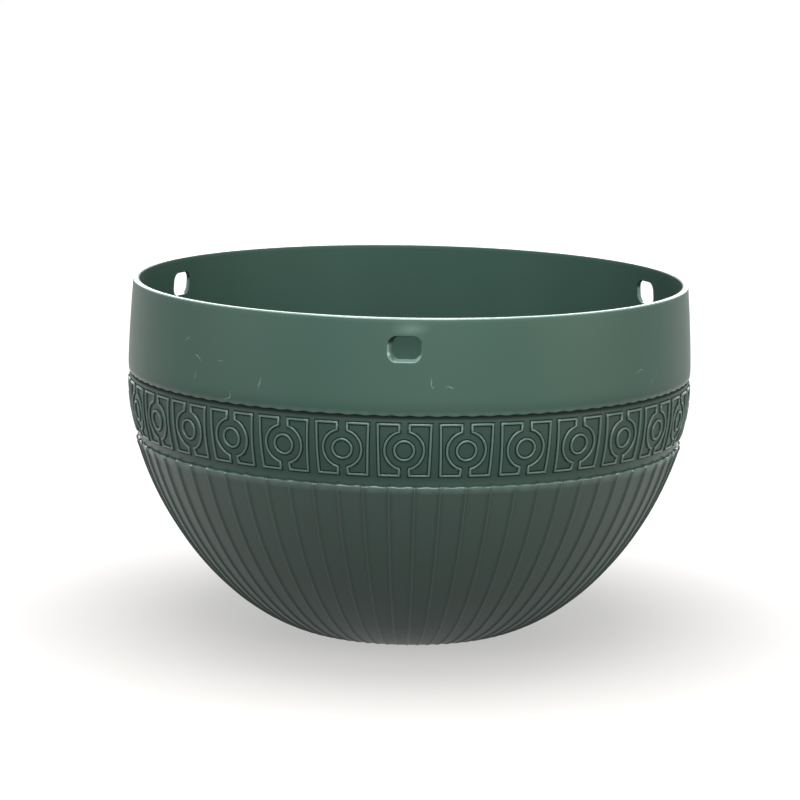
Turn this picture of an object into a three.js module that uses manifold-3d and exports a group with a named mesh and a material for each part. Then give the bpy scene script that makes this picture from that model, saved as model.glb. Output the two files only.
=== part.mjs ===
// Round hanging bowl planter, moulded in plastic: a ribbed lower bowl, a recessed frieze band,
// a smooth upper band with three hanging slots, a lift-out drainage platform and a drain plug.
// Millimetres, +Z up. The origin is at the centre of the base, on the plane that it rests on.
// Azimuths are degrees from the front (-Y) towards +X; the front hanging slot is at azimuth 0.

import * as THREE from 'three';
import { mergeVertices } from 'three/addons/utils/BufferGeometryUtils.js';
import Module from 'manifold-3d';

const wasm = await Module();
wasm.setup();

// ---------- Driving dimensions ----------

// Bowl heights, from the resting plane up
const rimHeight = 159;
const bandBottomHeight = 117.8;
const ledgeHeight = 87;

// Outside radii, and the control points that give the outline its curves
const rimRadius = 124.8;
const bandMiddleRadius = 126.5;
const bandMiddleHeight = 140;
const bandBottomRadius = 127.05;
const friezeBulgeRadius = 128.3;
const friezeBulgeHeight = 102;
const ledgeRadius = 122.5;
const upperBowlHandleRadius = 112.4;
const upperBowlHandleHeight = 49.9;
const lowerBowlHandleRadius = 81;
const lowerBowlHandleHeight = 7.6;
const baseRadius = 43.5;

// Walls, edges and the frieze
const wall = 2.5;
const floorThickness = 2.5;
const rimEdgeRadius = 1.2;
const rimInnerEdgeRadius = 0.5;
const friezeDepth = 0.8;
const bandEdgeRadius = 0.6;
const ledgeEdge = 0.4;

// Ribs of the lower bowl
const ribCount = 70;
const ribHeight = 0.75;
const ribBaseWidth = 2.2;
const ribStartAzimuth = 2;
const largestRibShare = 0.6;

// Hanging slots
const slotAzimuths = [0, 117.8, 241.1];
const slotWidth = 15;
const slotHeight = 11;
const slotCornerRadius = 4;
const slotCentreBelowRim = 13;
const frontSlotSideSlant = 0.9;
const frontSlotRise = 0.45;

// Underside
const footRingWidth = 6;
const undersideRecess = 2.5;
const drainHoleRadius = 7;

// Drainage platform
const platformTopHeight = 36;
const platformThickness = 2;
const platformEdgeClearance = 0.9;
const platformRimDepth = 5;
const platformRimThickness = 1.8;
const platformLegCount = 4;
const platformLegClearance = 1.5;
const platformLegSpan = 12;
const platformLegThickness = 2.4;
const platformSlotCount = 16;
const platformSlotWidth = 3.6;
const platformSlotLength = 20;
const platformSlotCornerRadius = 1.7;
const platformSlotCircleRadius = 66;
const platformHoleRingRadii = [20, 36];
const platformHoleRingCounts = [8, 16];
const platformHoleRadius = 2;
const fingerHoleRadius = 11;

// Drain plug
const plugFlangeRadius = 12;
const plugFlangeThickness = 1.6;
const plugStemRise = 1.5;
const plugStemChamfer = 0.8;

// Gaps between separate pieces
const seatGap = 0.3;
const plugFit = 0.3;

// Fineness of the round surfaces
const bowlCurveSteps = 7;
const bandCurveSteps = 3;
const friezeCurveSteps = 4;
const edgeSteps = 2;
const slotCornerSteps = 3;
const holeSteps = 4;
const upperSegments = 72;
const cavitySegments = 60;
const plugSegments = 32;
const fingerHoleSteps = 16;
const mergeDistance = 1e-5;
const cutMargin = 10;

// ---------- Helpers ----------

const degrees = Math.PI / 180;

function point(radius, height) {
  return new THREE.Vector2(radius, height);
}

// A solid of revolution about +Z from a profile that starts and ends on the axis, bottom first.
function revolve(profile, segments) {
  const geometry = new THREE.LatheGeometry(profile, segments);
  geometry.rotateX(Math.PI / 2);
  return geometry;
}

function toSolid(geometry) {
  const bare = geometry.clone();
  bare.deleteAttribute('normal');
  bare.deleteAttribute('uv');
  const merged = mergeVertices(bare, mergeDistance);
  const index = merged.index.array;
  const triangles = [];
  for (let i = 0; i < index.length; i += 3) {
    const [a, b, c] = [index[i], index[i + 1], index[i + 2]];
    if (a !== b && b !== c && c !== a) triangles.push(a, b, c);
  }
  return new wasm.Manifold(new wasm.Mesh({
    numProp: 3,
    vertProperties: new Float32Array(merged.attributes.position.array),
    triVerts: new Uint32Array(triangles),
  }));
}

function toGeometry(solid) {
  const mesh = solid.getMesh();
  const geometry = new THREE.BufferGeometry();
  geometry.setAttribute('position', new THREE.BufferAttribute(mesh.vertProperties, mesh.numProp));
  geometry.setIndex(new THREE.BufferAttribute(mesh.triVerts, 1));
  geometry.computeVertexNormals();
  return geometry;
}

// The outline moved square to itself, towards the inside of the bowl.
function moveInward(outline, distance) {
  return outline.map((p, i) => {
    const before = outline[Math.max(i - 1, 0)];
    const after = outline[Math.min(i + 1, outline.length - 1)];
    const along = after.clone().sub(before).normalize();
    return point(p.x - along.y * distance, p.y + along.x * distance);
  });
}

// A quarter-round edge between two directions, as points on an arc.
function arc(centre, radius, startDegrees, endDegrees) {
  const points = [];
  for (let i = 0; i <= edgeSteps; i += 1) {
    const angle = (startDegrees + (endDegrees - startDegrees) * i / edgeSteps) * degrees;
    points.push(point(centre.x + radius * Math.cos(angle), centre.y + radius * Math.sin(angle)));
  }
  return points;
}

function roundedRectangle(width, height, radius) {
  const x = width / 2;
  const y = height / 2;
  const shape = new THREE.Shape();
  shape.moveTo(-x + radius, -y);
  shape.lineTo(x - radius, -y);
  shape.absarc(x - radius, -y + radius, radius, -Math.PI / 2, 0);
  shape.lineTo(x, y - radius);
  shape.absarc(x - radius, y - radius, radius, 0, Math.PI / 2);
  shape.lineTo(-x + radius, y);
  shape.absarc(-x + radius, y - radius, radius, Math.PI / 2, Math.PI);
  shape.lineTo(-x, -y + radius);
  shape.absarc(-x + radius, -y + radius, radius, Math.PI, Math.PI * 1.5);
  return shape;
}

// The radius of an outline, listed from the bottom up, at a height.
function radiusAt(outline, height) {
  for (let i = 1; i < outline.length; i += 1) {
    const [low, high] = [outline[i - 1], outline[i]];
    if (height <= high.y && high.y > low.y) {
      const share = (height - low.y) / (high.y - low.y);
      return low.x + (high.x - low.x) * Math.max(share, 0);
    }
  }
  return outline[outline.length - 1].x;
}

// ---------- Outline of the bowl ----------

// The lower bowl, from the edge of the base up to the ledge
const bowlOutline = new THREE.CubicBezierCurve(
  point(baseRadius, 0),
  point(lowerBowlHandleRadius, lowerBowlHandleHeight),
  point(upperBowlHandleRadius, upperBowlHandleHeight),
  point(ledgeRadius, ledgeHeight),
).getPoints(bowlCurveSteps);

// The outline across the frieze, before the frieze is sunk into it
const friezeSkin = new THREE.QuadraticBezierCurve(
  point(ledgeRadius, ledgeHeight),
  point(friezeBulgeRadius, friezeBulgeHeight),
  point(bandBottomRadius, bandBottomHeight),
).getPoints(friezeCurveSteps);

// The smooth upper band, from its lower edge up to the rim
const bandOutline = new THREE.QuadraticBezierCurve(
  point(bandBottomRadius, bandBottomHeight),
  point(bandMiddleRadius, bandMiddleHeight),
  point(rimRadius, rimHeight),
).getPoints(bandCurveSteps);

// ---------- Bowl ----------

// The lower bowl as a solid with its ribs: each rib takes three columns of the lathe, its crest in
// the middle, and the columns move together so that a rib keeps its width all the way down.
function ribbedBowl() {
  const columnsPerRib = 3;
  const columns = ribCount * columnsPerRib;
  const profile = [
    point(0, 0),
    ...bowlOutline.slice(0, -1),
    point(ledgeRadius, ledgeHeight - ledgeEdge),
    point(ledgeRadius - ledgeEdge, ledgeHeight),
    point(0, ledgeHeight),
  ];
  const firstRibbedRow = 2;
  const lastRibbedRow = profile.length - 2;
  const crests = moveInward(profile, -ribHeight);
  const geometry = new THREE.LatheGeometry(profile, columns);
  const position = geometry.attributes.position;
  const pitch = 2 * Math.PI / ribCount;
  for (let i = 0; i < position.count; i += 1) {
    const row = i % profile.length;
    const column = Math.floor(i / profile.length) % columns;
    const place = (column % columnsPerRib) - 1;
    const isCrest = place === 0 && row >= firstRibbedRow && row <= lastRibbedRow;
    const { x: radius, y: height } = isCrest ? crests[row] : profile[row];
    const halfWidth = Math.min(ribBaseWidth / profile[row].x, pitch * largestRibShare) / 2;
    const rib = Math.floor(column / columnsPerRib);
    const angle = ribStartAzimuth * degrees + rib * pitch + place * halfWidth;
    position.setXYZ(i, radius * Math.sin(angle), Math.min(height, ledgeHeight), radius * Math.cos(angle));
  }
  geometry.rotateX(Math.PI / 2);
  return toSolid(geometry);
}

// The frieze and the smooth band above it; it starts inside the ribbed bowl, which it joins.
function upperBody() {
  const overlap = 4;
  const panel = friezeSkin.map((p) => point(p.x - friezeDepth, p.y));
  const panelFoot = panel[0];
  const panelTop = point(bandBottomRadius - friezeDepth, bandBottomHeight);
  const profile = [
    point(0, ledgeHeight - overlap),
    point(panelFoot.x - overlap / 2, ledgeHeight - overlap),
    ...panel.slice(0, -1),
    panelTop,
    ...arc(point(bandBottomRadius - bandEdgeRadius, bandBottomHeight + bandEdgeRadius),
      bandEdgeRadius, -90, 0),
    ...bandOutline.slice(1, -1),
    ...arc(point(rimRadius - rimEdgeRadius, rimHeight - rimEdgeRadius), rimEdgeRadius, 0, 90),
    point(0, rimHeight),
  ];
  return toSolid(revolve(profile, upperSegments));
}

// The hollow of the bowl: the same outline, one wall further in, down to a flat floor.
const floorHeight = undersideRecess + floorThickness;
const shortestCavityStep = 1;
const cavityOutline = moveInward(
  [...bowlOutline, ...friezeSkin.slice(1), ...bandOutline.slice(1)],
  wall,
).filter((p) => p.y > floorHeight + shortestCavityStep
  && p.y < rimHeight - rimInnerEdgeRadius - shortestCavityStep);
const floorEdgeRadius = cavityOutline[0].x - (cavityOutline[0].y - floorHeight)
  * (cavityOutline[1].x - cavityOutline[0].x) / (cavityOutline[1].y - cavityOutline[0].y);

function cavity() {
  const lipInnerRadius = rimRadius - wall;
  const profile = [
    point(0, floorHeight),
    point(floorEdgeRadius, floorHeight),
    ...cavityOutline,
    point(lipInnerRadius, rimHeight - rimInnerEdgeRadius),
    point(lipInnerRadius + rimInnerEdgeRadius, rimHeight),
    point(lipInnerRadius + rimInnerEdgeRadius, rimHeight + cutMargin),
    point(0, rimHeight + cutMargin),
  ];
  return toSolid(revolve(profile, cavitySegments));
}

// A hanging slot's cutter. The front slot slants sideways and upwards on its way in.
function slotCutter(number) {
  const shape = roundedRectangle(slotWidth, slotHeight, slotCornerRadius);
  const depth = wall + 2 * cutMargin;
  const settings = { depth, curveSegments: slotCornerSteps, bevelEnabled: false };
  const geometry = new THREE.ExtrudeGeometry(shape, settings);
  geometry.rotateX(Math.PI / 2);
  geometry.translate(0, depth / 2, 0);
  const slant = number === 0 ? frontSlotSideSlant : 0;
  const rise = number === 0 ? frontSlotRise : 0;
  const middle = -wall / 2;
  const position = geometry.attributes.position;
  for (let i = 0; i < position.count; i += 1) {
    const inward = position.getY(i) - middle;
    position.setX(i, position.getX(i) + slant * inward);
    position.setZ(i, position.getZ(i) + rise * inward);
  }
  const slotZ = rimHeight - slotCentreBelowRim;
  geometry.translate(0, -radiusAt(bandOutline, slotZ) + wall / 2, slotZ);
  geometry.rotateZ(slotAzimuths[number] * degrees);
  return toSolid(geometry);
}

function undersideCutter() {
  const recessRadius = baseRadius - footRingWidth;
  const profile = [
    point(0, -cutMargin),
    point(recessRadius, -cutMargin),
    point(recessRadius, undersideRecess - ledgeEdge),
    point(recessRadius - ledgeEdge, undersideRecess),
    point(drainHoleRadius, undersideRecess),
    point(drainHoleRadius, floorHeight + cutMargin),
    point(0, floorHeight + cutMargin),
  ];
  return toSolid(revolve(profile, cavitySegments));
}

function bowl() {
  let solid = ribbedBowl().add(upperBody());
  solid = solid.subtract(cavity());
  solid = solid.subtract(undersideCutter());
  for (let number = 0; number < slotAzimuths.length; number += 1) {
    solid = solid.subtract(slotCutter(number));
  }
  return toGeometry(solid);
}

// ---------- Drainage platform ----------

const platformBottomHeight = platformTopHeight - platformThickness;
const platformRimBottomHeight = platformTopHeight - platformRimDepth;
const platformRadius = radiusAt(cavityOutline, platformRimBottomHeight) - platformEdgeClearance;
const legCircleRadius = floorEdgeRadius - platformLegSpan / 2 - platformLegClearance;

function platformPlate() {
  const skirtInnerRadius = platformRadius - platformRimThickness;
  const profile = [
    point(0, platformBottomHeight),
    point(skirtInnerRadius, platformBottomHeight),
    point(skirtInnerRadius, platformRimBottomHeight),
    point(platformRadius, platformRimBottomHeight),
    point(platformRadius, platformTopHeight - ledgeEdge),
    point(platformRadius - ledgeEdge, platformTopHeight),
    point(0, platformTopHeight),
  ];
  return toSolid(revolve(profile, cavitySegments));
}

// One leg: two crossed webs, standing on the floor of the bowl.
function platformLeg(number) {
  const bottom = floorHeight + seatGap;
  const height = platformBottomHeight + platformThickness / 2 - bottom;
  const angle = (number + 0.5) * 2 * Math.PI / platformLegCount;
  const webs = [0, Math.PI / 2].map((turn) => {
    const web = new THREE.BoxGeometry(platformLegSpan, platformLegThickness, height);
    web.rotateZ(turn);
    web.translate(0, -legCircleRadius, bottom + height / 2);
    web.rotateZ(angle);
    return toSolid(web);
  });
  return webs[0].add(webs[1]);
}

// A cutter for one opening of the plate, at a radius and an azimuth.
function plateCutter(shape, radius, angle, curveSegments) {
  const depth = platformThickness + 2 * cutMargin;
  const geometry = new THREE.ExtrudeGeometry(shape, { depth, curveSegments, bevelEnabled: false });
  geometry.translate(0, -radius, platformTopHeight - depth / 2);
  geometry.rotateZ(angle);
  return toSolid(geometry);
}

// Slots near the edge, two rings of drain holes, and a hole in the middle for a finger, which
// lifts the platform out.
function platformOpenings() {
  const cutters = [];
  const slot = roundedRectangle(platformSlotWidth, platformSlotLength, platformSlotCornerRadius);
  for (let i = 0; i < platformSlotCount; i += 1) {
    const angle = (i + 0.5) * 2 * Math.PI / platformSlotCount;
    cutters.push(plateCutter(slot, platformSlotCircleRadius, angle, holeSteps));
  }
  const hole = new THREE.Shape();
  hole.absarc(0, 0, platformHoleRadius, 0, 2 * Math.PI);
  platformHoleRingRadii.forEach((ringRadius, ring) => {
    const count = platformHoleRingCounts[ring];
    for (let i = 0; i < count; i += 1) {
      cutters.push(plateCutter(hole, ringRadius, i * 2 * Math.PI / count, holeSteps));
    }
  });
  const fingerHole = new THREE.Shape();
  fingerHole.absarc(0, 0, fingerHoleRadius, 0, 2 * Math.PI);
  cutters.push(plateCutter(fingerHole, 0, 0, fingerHoleSteps));
  return cutters;
}

function platform() {
  let solid = platformPlate();
  for (const cutter of platformOpenings()) {
    solid = solid.subtract(cutter);
  }
  for (let number = 0; number < platformLegCount; number += 1) {
    solid = solid.add(platformLeg(number));
  }
  return toGeometry(solid);
}

// ---------- Drain plug ----------

// A rubber bung pushed up through the drain hole, its flange inside the recess of the underside.
function drainPlug() {
  const stemRadius = drainHoleRadius - plugFit;
  const flangeTop = undersideRecess - seatGap;
  const flangeBottom = flangeTop - plugFlangeThickness;
  const stemTop = floorHeight + plugStemRise;
  const profile = [
    point(0, flangeBottom),
    point(plugFlangeRadius - ledgeEdge, flangeBottom),
    point(plugFlangeRadius, flangeBottom + ledgeEdge),
    point(plugFlangeRadius, flangeTop),
    point(stemRadius, flangeTop),
    point(stemRadius, stemTop - plugStemChamfer),
    point(stemRadius - plugStemChamfer, stemTop),
    point(0, stemTop),
  ];
  return toGeometry(toSolid(revolve(profile, plugSegments)));
}

// ---------- Assembly ----------

function plastic(name, geometry, colour, roughness) {
  const material = new THREE.MeshStandardMaterial({ color: colour, roughness, metalness: 0 });
  const mesh = new THREE.Mesh(geometry, material);
  mesh.name = name;
  return mesh;
}

const group = new THREE.Group();
group.add(plastic('planter_bowl', bowl(), 0x2f4942, 0.42));
group.add(plastic('drainage_platform', platform(), 0x26423a, 0.5));
group.add(plastic('drain_plug', drainPlug(), 0x1c1e1d, 0.8));

export default group;
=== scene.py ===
# %% [markdown]
# # A moulded hanging bowl planter
#
# The object is one plastic moulding: a ribbed bowl with a sunk frieze above it, and a smooth
# band with three hanging slots that ends in a rounded lip. A drainage platform lies loose
# inside it, and a rubber plug closes the drain hole underneath.
#
# The imported model brings the shared frame: metres, +Z up, the base centred on the origin and the
# front slot towards -Y. Everything below is built in that frame. The finished object has to stay
# inside it.

from math import atan2, cos, pi, radians, sin, sqrt

import bmesh
import bpy
from mathutils import Matrix, Quaternion, Vector


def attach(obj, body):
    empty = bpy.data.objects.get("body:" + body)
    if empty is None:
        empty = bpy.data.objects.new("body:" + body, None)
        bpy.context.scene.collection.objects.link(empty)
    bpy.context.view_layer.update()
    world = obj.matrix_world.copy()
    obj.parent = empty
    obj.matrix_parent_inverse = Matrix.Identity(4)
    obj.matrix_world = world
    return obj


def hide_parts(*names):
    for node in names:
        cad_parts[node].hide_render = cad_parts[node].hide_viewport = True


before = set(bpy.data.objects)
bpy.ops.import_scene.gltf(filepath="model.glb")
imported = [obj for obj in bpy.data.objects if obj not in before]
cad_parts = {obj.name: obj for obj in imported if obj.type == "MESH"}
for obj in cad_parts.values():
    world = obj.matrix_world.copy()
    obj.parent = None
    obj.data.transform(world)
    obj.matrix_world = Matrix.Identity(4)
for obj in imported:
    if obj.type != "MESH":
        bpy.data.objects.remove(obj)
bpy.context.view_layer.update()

# %% [markdown]
# ## The outline
#
# Seen from the side, the bowl's skin is three smooth curves that meet at the ledge and at the
# lower edge of the band. Bezier curves hold such a line with three or four points each, so the
# shape can be changed without touching a mesh. A point here is (radius, height) in millimetres.
# The same three curves serve the outside, the inside and the sunk frieze, which only move
# away from them sideways.

# %% Curves of the outline
MM = 0.001
WALL = 2.5
LEDGE_Z, BAND_Z, RIM_Z = 87.0, 117.8, 159.0
LEDGE_RADIUS, BAND_RADIUS, RIM_RADIUS = 122.5, 127.05, 124.8
BOWL = [Vector(p) for p in ((43.5, 0), (81, 7.6), (112.4, 49.9), (LEDGE_RADIUS, LEDGE_Z))]
FRIEZE = [Vector(p) for p in ((LEDGE_RADIUS, LEDGE_Z), (128.3, 102), (BAND_RADIUS, BAND_Z))]
BAND = [Vector(p) for p in ((BAND_RADIUS, BAND_Z), (126.5, 140), (RIM_RADIUS, RIM_Z))]


def even(low, high, steps):
    """Evenly spaced numbers from low to high, with both ends."""
    return [low + (high - low) * i / steps for i in range(steps + 1)]


def falloff(distance, reach):
    """1 at no distance, less further away, and 0 from the reach on."""
    return max(0.0, 1 - distance / reach)


def bezier(points, share):
    """The point at a share of the way along a Bezier curve, found by mixing its neighbours."""
    while len(points) > 1:
        points = [a.lerp(b, share) for a, b in zip(points, points[1:])]
    return points[0]


def curve(points, steps):
    """A Bezier curve as a list of points."""
    return [bezier(points, share) for share in even(0, 1, steps)]


def radius_at(points, height):
    """The radius of a rising curve at a height, found by halving."""
    low, high = 0.0, 1.0
    for _ in range(30):
        middle = (low + high) / 2
        if bezier(points, middle).y < height:
            low = middle
        else:
            high = middle
    return bezier(points, low).x


def inward(profile, distance):
    """A profile moved square to itself, towards the inside of the bowl."""
    moved = []
    for i, p in enumerate(profile):
        along = (profile[min(i + 1, len(profile) - 1)] - profile[max(i - 1, 0)]).normalized()
        moved.append(p + Vector((-along.y, along.x)) * distance)
    return moved


def arc(centre, radius, start, end, steps):
    """A rounded edge: points on an arc from one angle in degrees to another."""
    x, y = centre
    angles = [radians(angle) for angle in even(start, end, steps)]
    return [Vector((x + radius * cos(a), y + radius * sin(a))) for a in angles]


def place(azimuth, radius, height):
    """A point round the bowl. The azimuth is in radians from the front towards +X."""
    return Vector((radius * sin(azimuth), -radius * cos(azimuth), height)) * MM


print("radius at mid band:", round(radius_at(BAND, 138), 2), "mm")

# %% [markdown]
# ## Three helpers that every piece uses
#
# A shell of revolution is drawn as a chain of edges and spun. A surface that changes as it goes
# round, such as the ribs or the wavy edges, starts as a flat grid instead: each of its points
# is moved to its place on the bowl, and the two ends of the grid are merged where they meet.
# Every mesh becomes an object at the origin, because its place is in its points.


# %% Helpers for meshes
def finish_mesh(name, bm, material, body, node=None, smooth=True):
    """Turns a bmesh into a named piece that moves with a body of the frame."""
    mesh = bpy.data.meshes.new(name)
    bm.to_mesh(mesh)
    bm.free()
    for polygon in mesh.polygons:
        polygon.use_smooth = smooth
    mesh.materials.append(material)
    piece = bpy.data.objects.new(name, mesh)
    bpy.context.scene.collection.objects.link(piece)
    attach(piece, body)
    if node:
        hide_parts(node)
    print(f"{name}: {len(mesh.polygons)} faces")
    return piece


def spun(bm, profile, steps):
    """Spins a profile of (radius, height) points round the axis into a closed ring."""
    points = [bm.verts.new(place(0, p[0], p[1])) for p in profile]
    edges = [bm.edges.new(pair) for pair in zip(points, points[1:])]
    bmesh.ops.spin(
        bm, geom=points + edges, cent=(0, 0, 0), axis=(0, 0, 1), angle=2 * pi,
        steps=steps, use_merge=True, use_normal_flip=False, use_duplicate=False,
    )
    bmesh.ops.remove_doubles(bm, verts=bm.verts, dist=1e-7)


def bent_grid(bm, columns, rows, where):
    """A flat grid whose points move to where(column, row), closed where its ends meet."""
    grid = bmesh.ops.create_grid(bm, x_segments=columns, y_segments=rows, size=1)["verts"]
    for v in grid:
        column = round((v.co.x + 1) / 2 * columns)
        row = round((v.co.y + 1) / 2 * rows)
        v.co = where(column, row)
    bmesh.ops.remove_doubles(bm, verts=grid, dist=1e-7)


# %% [markdown]
# ## Shared effects
#
# Moulded plastic is never one flat colour. It has a fine grain from the tool, a slow drift in
# gloss where the melt flowed, and short bent scratches where it was handled. Each effect is a
# node group that gives out only a mask or a height, so every material can mix it in its own
# strength. All of them read Object coordinates, which are metres on the real object.


# %% Helpers for node trees
def feed(tree, node, inputs):
    """Sets a node's inputs. An input is a value, or another node's output to link."""
    for name, value in inputs.items():
        socket = node.inputs[name]
        if isinstance(value, bpy.types.NodeSocket):
            tree.links.new(value, socket)
        else:
            socket.default_value = value


def add(tree, kind, inputs=None, **settings):
    """Adds a node with its settings and inputs."""
    node = tree.nodes.new(kind)
    for name, value in settings.items():
        setattr(node, name, value)
    feed(tree, node, inputs or {})
    return node


def maths(tree, operation, *values):
    """The result of a Math node."""
    return add(tree, "ShaderNodeMath", dict(enumerate(values)), operation=operation).outputs[0]


def vectors(tree, operation, *values):
    """The outputs of a Vector Math node: Vector, or Value for a length or a dot product."""
    inputs = dict(enumerate(values))
    return add(tree, "ShaderNodeVectorMath", inputs, operation=operation).outputs


def mix(tree, factor, first, second):
    """A colour between two others."""
    inputs = {0: factor, 6: first, 7: second}
    return add(tree, "ShaderNodeMix", inputs, data_type="RGBA").outputs[2]


def group_tree(name, inputs, outputs):
    """An empty node group with named sockets: returns its tree, its inputs and its output node."""
    tree = bpy.data.node_groups.new(name, "ShaderNodeTree")
    for label, (kind, default) in inputs.items():
        socket = tree.interface.new_socket(label, in_out="INPUT", socket_type=kind)
        socket.default_value = default
    for label in outputs:
        tree.interface.new_socket(label, in_out="OUTPUT", socket_type="NodeSocketFloat")
    return tree, tree.nodes.new("NodeGroupInput").outputs, tree.nodes.new("NodeGroupOutput")


def use(tree, group, inputs=None):
    """Places a node group in a material and returns its outputs."""
    return add(tree, "ShaderNodeGroup", inputs, node_tree=group).outputs


# %% Group: grain and flow of a moulded surface
grain_group, source, result = group_tree(
    "Moulded surface",
    {"Grain per metre": ("NodeSocketFloat", 1600.0), "Flow per metre": ("NodeSocketFloat", 22.0)},
    ["Grain", "Flow"],
)
coords = add(grain_group, "ShaderNodeTexCoord").outputs["Object"]
grain = add(
    grain_group, "ShaderNodeTexNoise",
    {"Vector": coords, "Scale": source["Grain per metre"], "Detail": 3.0, "Roughness": 0.6},
)
# The melt rose from the base, so its streaks are stretched upwards
stretched = add(grain_group, "ShaderNodeMapping", {"Vector": coords, "Scale": (1.0, 1.0, 0.22)})
flow = add(
    grain_group, "ShaderNodeTexNoise",
    {"Vector": stretched.outputs[0], "Scale": source["Flow per metre"], "Detail": 3.0},
)
feed(grain_group, result, {"Grain": grain.outputs["Fac"], "Flow": flow.outputs["Fac"]})
print("group:", grain_group.name)

# %% [markdown]
# A scratch is a thin stroke with a place, a direction and a length. The distance from a straight
# line gives its width, and the distance from its centre lets it fade at both ends. The line
# bends a little because a noise moves every point before it is measured.

# %% Group: a scratch
SCRATCH_BEND = 0.004
SCRATCH_EDGE, SCRATCH_CORE = 0.00022, 0.00005

scratch_group, source, result = group_tree(
    "Scratch",
    {
        "Centre": ("NodeSocketVector", (0, 0, 0)), "Across": ("NodeSocketVector", (0, 0, 1)),
        "Half length": ("NodeSocketFloat", 0.002), "Strength": ("NodeSocketFloat", 1.0),
    },
    ["Mask"],
)
coords = add(scratch_group, "ShaderNodeTexCoord").outputs["Object"]
bends = add(scratch_group, "ShaderNodeTexNoise", {"Vector": coords, "Scale": 260.0, "Detail": 1.0})
bends = vectors(scratch_group, "SUBTRACT", bends.outputs["Color"], (0.5, 0.5, 0.5))["Vector"]
bends = add(
    scratch_group, "ShaderNodeVectorMath", {0: bends, "Scale": SCRATCH_BEND}, operation="SCALE"
)
bent = vectors(scratch_group, "ADD", coords, bends.outputs["Vector"])["Vector"]
from_centre = vectors(scratch_group, "SUBTRACT", bent, source["Centre"])["Vector"]
off_line = vectors(scratch_group, "DOT_PRODUCT", from_centre, source["Across"])["Value"]
off_line = maths(scratch_group, "ABSOLUTE", off_line)
thin = add(
    scratch_group, "ShaderNodeMapRange",
    {"Value": off_line, "From Min": SCRATCH_EDGE, "From Max": SCRATCH_CORE},
    interpolation_type="SMOOTHSTEP",
)
far = vectors(scratch_group, "LENGTH", from_centre)["Value"]
ends = add(
    scratch_group, "ShaderNodeMapRange",
    {"Value": far, "From Min": source["Half length"], "From Max": 0.0},
)
mask = maths(scratch_group, "MULTIPLY", thin.outputs["Result"], ends.outputs["Result"])
mask = maths(scratch_group, "MULTIPLY", mask, source["Strength"])
feed(scratch_group, result, {"Mask": mask})
print("group:", scratch_group.name)

# %% [markdown]
# ## The green plastic
#
# The bowl is dark green and satin: it looks paler where it mirrors the room, not because its colour
# changes. So the base colour stays dark and even, with only a slow mottle. Two attributes that are
# written into the meshes paint light and shade on top of it. One marks edges and crests where light
# catches: they are painted paler, a painted highlight, and get a thin polished coat. The other marks
# corners, creases and places in shade: they are painted darker, a painted shade, and lose their
# gloss. An image could be painted for this, but the attributes come from the same numbers as the
# shape, so they always fit it.
#
# The moulding is one plastic, but its tool was finished in three ways: satin on the band, matt on
# the ribs and finely etched in the frieze. One function makes all of them. The matt and etched
# greens are also given darker colours than the satin green: painted shade for the ribbed bowl and
# the sunk frieze.

# %% The colour of moulded plastic
# Painted highlight: how much paler a crest is painted. Painted shade: how much of a groove is
# painted dark, and how dark.
HIGHLIGHT_GAIN, HIGHLIGHT_LIFT = 2.4, 0.004
SHADE_SHARE, SHADE_TONE = 0.92, 0.1
SCRATCH_SHARE, SCRATCH_COLOUR = 0.8, (0.34, 0.38, 0.35, 1)


def attribute(tree, name):
    """An attribute of the mesh. It is 0 where the mesh doesn't have it."""
    return add(tree, "ShaderNodeAttribute", attribute_name=name).outputs["Fac"]


def plastic_colour(tree, surface, dark, light, highlight_strength, scratches):
    """A mottle between two colours, with painted highlights, painted shade and scratches on top."""
    colour = mix(tree, surface["Flow"], (*dark, 1), (*light, 1))
    # Painted highlight: crests are painted paler.
    highlight = maths(tree, "MULTIPLY", attribute(tree, "painted_highlight"), surface["Flow"])
    highlight = maths(tree, "MULTIPLY", highlight, highlight_strength)
    highlight_colour = [c * HIGHLIGHT_GAIN + HIGHLIGHT_LIFT for c in light]
    colour = mix(tree, highlight, colour, (*highlight_colour, 1))
    # Painted shade: grooves are painted darker.
    shaded = maths(tree, "MULTIPLY", attribute(tree, "painted_shade"), SHADE_SHARE)
    colour = mix(tree, shaded, colour, (*(c * SHADE_TONE for c in dark), 1))
    marks = None
    for centre, across, half_length, strength in scratches:
        mark = use(tree, scratch_group, {
            "Centre": centre, "Across": across, "Half length": half_length, "Strength": strength,
        })["Mask"]
        marks = mark if marks is None else maths(tree, "MAXIMUM", marks, mark)
    if marks is None:
        return colour
    return mix(tree, maths(tree, "MULTIPLY", marks, SCRATCH_SHARE), colour, SCRATCH_COLOUR)


# %% Moulded plastic
GLOSS_DRIFT = 0.05
COAT_ROUGHNESS, COAT_IOR = 0.12, 1.65


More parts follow.
